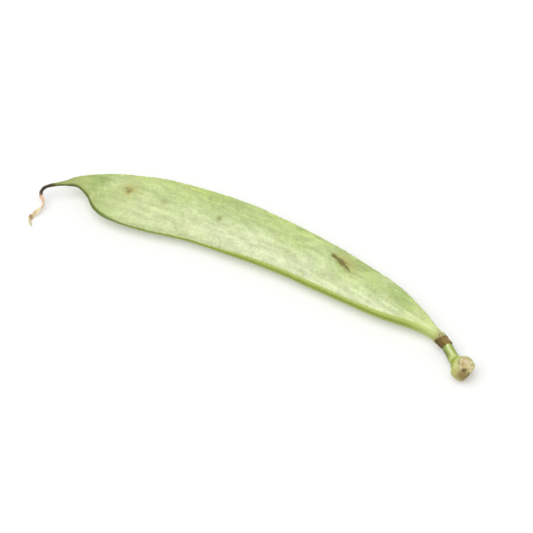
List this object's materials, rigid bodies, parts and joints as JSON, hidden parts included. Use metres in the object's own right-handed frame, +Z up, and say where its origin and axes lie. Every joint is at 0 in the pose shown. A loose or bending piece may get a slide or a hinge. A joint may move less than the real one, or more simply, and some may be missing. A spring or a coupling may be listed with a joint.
{
  "type": "flat bean",
  "caption": "Long flat green bean pod, gently curved, with blunt seamed edges, a hooked dry beak, a small brown calyx and a short stalk that ends in a swollen knob.",
  "frame": {"origin": "middle of the whole bean's footprint, on the surface that it lies on", "axes": "+X along the pod from its beak to its stalk, +Y towards the edge that carries the seeds, +Z up, square to the pod's broad side"},
  "size_m": [0.131, 0.0336, 0.0064],
  "materials": {
    "pod_skin": "fresh green pod skin with a thin waxy bloom",
    "dry_thread": "dry, dark brown, dull",
    "dry_flower": "dry, papery, pale tan",
    "dry_calyx": "dry, papery, brown",
    "stalk_green": "smooth green stalk, slightly glossy",
    "knob_tan": "dull yellow-tan bark with a darker scar"
  },
  "bodies": {
    "root": {"pod": "pod_skin", "style": "dry_thread", "withered_flower": "dry_flower", "calyx": "dry_calyx", "stalk": "stalk_green", "stem_knob": "knob_tan"}
  },
  "joints": []
}
